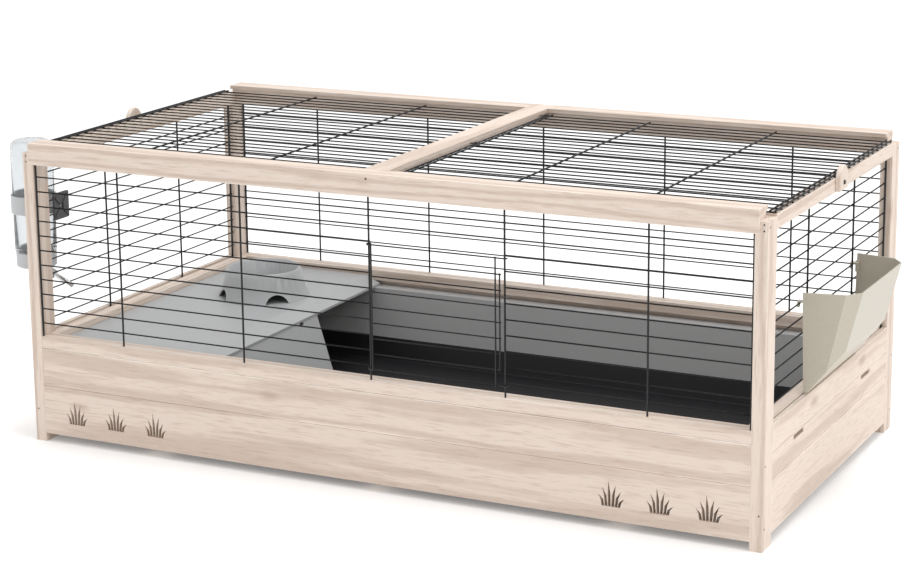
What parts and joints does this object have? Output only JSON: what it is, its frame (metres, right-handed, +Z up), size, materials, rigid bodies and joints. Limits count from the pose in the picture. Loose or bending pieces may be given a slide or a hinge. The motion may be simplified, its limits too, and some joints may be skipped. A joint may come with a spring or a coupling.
{
  "type": "small animal pen",
  "caption": "Low pen for rabbits or guinea pigs: pine frame, black wire walls and two swing-up lids, deep tray, nest platform, bowl, hay manger and water bottle",
  "frame": {"origin": "middle of the footprint's bounding box, at floor level", "axes": "+X along the front from left to right, +Y from the front to the back, +Z up"},
  "size_m": [1.3984, 0.6502, 0.501],
  "materials": {
    "pine": "whitewashed, fine grain",
    "wire": "black enamel",
    "fastener": "dark zinc",
    "black_plastic": "fine moulded texture",
    "grey_plastic": "satin moulded",
    "light_plastic": "satin moulded",
    "manger_plastic": "translucent satin",
    "clear_plastic": "clear",
    "pale_plastic": "satin moulded",
    "dark_plastic": "satin moulded",
    "steel": "polished"
  },
  "bodies": {
    "pen": {"base_rail_front": "pine", "base_rail_left": "pine", "base_rail_rear": "pine", "base_rail_right": "pine", "board_front_lower": "pine", "board_front_upper": "pine", "board_left_lower": "pine", "board_left_middle": "pine", "board_left_upper": "pine", "board_rear_lower": "pine", "board_rear_upper": "pine", "board_right_lower": "pine", "board_right_middle": "pine", "board_right_upper": "pine", "bottle_bracket": "dark_plastic", "bottle_strap": "pale_plastic", "frame_nails": "fastener", "frame_screws": "fastener", "grid_front": "wire", "grid_left": "wire", "grid_rear": "wire", "grid_right": "wire", "lid_hinge_eyes": "fastener", "post_front_left": "pine", "post_front_right": "pine", "post_rear_left": "pine", "post_rear_right": "pine", "roof_cap_front": "pine", "roof_cap_rear": "pine", "roof_centre_bar": "pine", "roof_rail_front": "pine", "roof_rail_left": "pine", "roof_rail_rear": "pine", "roof_rail_right": "pine", "tray_base": "black_plastic", "tray_bearers": "pine", "tray_liner": "grey_plastic", "turn_button_screws": "fastener"},
    "left_lid": {"lid_left": "wire"},
    "right_lid": {"lid_right": "wire"},
    "left_button": {"turn_button_left": "pine"},
    "right_button": {"turn_button_right": "pine"},
    "door": {"front_door": "wire"},
    "nest_platform": {"platform": "light_plastic"},
    "bowl": {"food_bowl": "light_plastic"},
    "manger": {"hay_manger": "manger_plastic"},
    "water_bottle": {"bottle_shell": "clear_plastic", "bottle_cap": "pale_plastic", "bottle_spout": "steel", "spout_ball": "steel"}
  },
  "joints": [
    {"name": "left_lid_hinge", "type": "hinge", "parent": "pen", "child": "left_lid", "pos_m": [-0.0233, 0, 0.4874], "axis": [0, 1, 0], "range_deg": [0, 90]},
    {"name": "right_lid_hinge", "type": "hinge", "parent": "pen", "child": "right_lid", "pos_m": [0.0257, 0, 0.4874], "axis": [0, -1, 0], "range_deg": [0, 90]},
    {"name": "left_button_turn", "type": "hinge", "parent": "pen", "child": "left_button", "pos_m": [-0.6276, 0, 0.475], "axis": [1, 0, 0], "range_deg": [0, 90]},
    {"name": "right_button_turn", "type": "hinge", "parent": "pen", "child": "right_button", "pos_m": [0.63, 0, 0.475], "axis": [-1, 0, 0], "range_deg": [0, 90]},
    {"name": "door_hinge", "type": "hinge", "parent": "pen", "child": "door", "pos_m": [0.0012, -0.3185, 0.292], "axis": [0, 0, -1], "range_deg": [0, 110]},
    {"name": "platform_lift", "type": "slide", "parent": "pen", "child": "nest_platform", "axis": [0, 0, 1], "range_m": [0, 0.15]},
    {"name": "bowl_lift", "type": "slide", "parent": "nest_platform", "child": "bowl", "axis": [0, 0, 1], "range_m": [0, 0.08]},
    {"name": "manger_lift", "type": "slide", "parent": "pen", "child": "manger", "axis": [0, 0, 1], "range_m": [0, 0.012]},
    {"name": "bottle_lift", "type": "slide", "parent": "pen", "child": "water_bottle", "axis": [0, 0, 1], "range_m": [0, 0.008]}
  ]
}
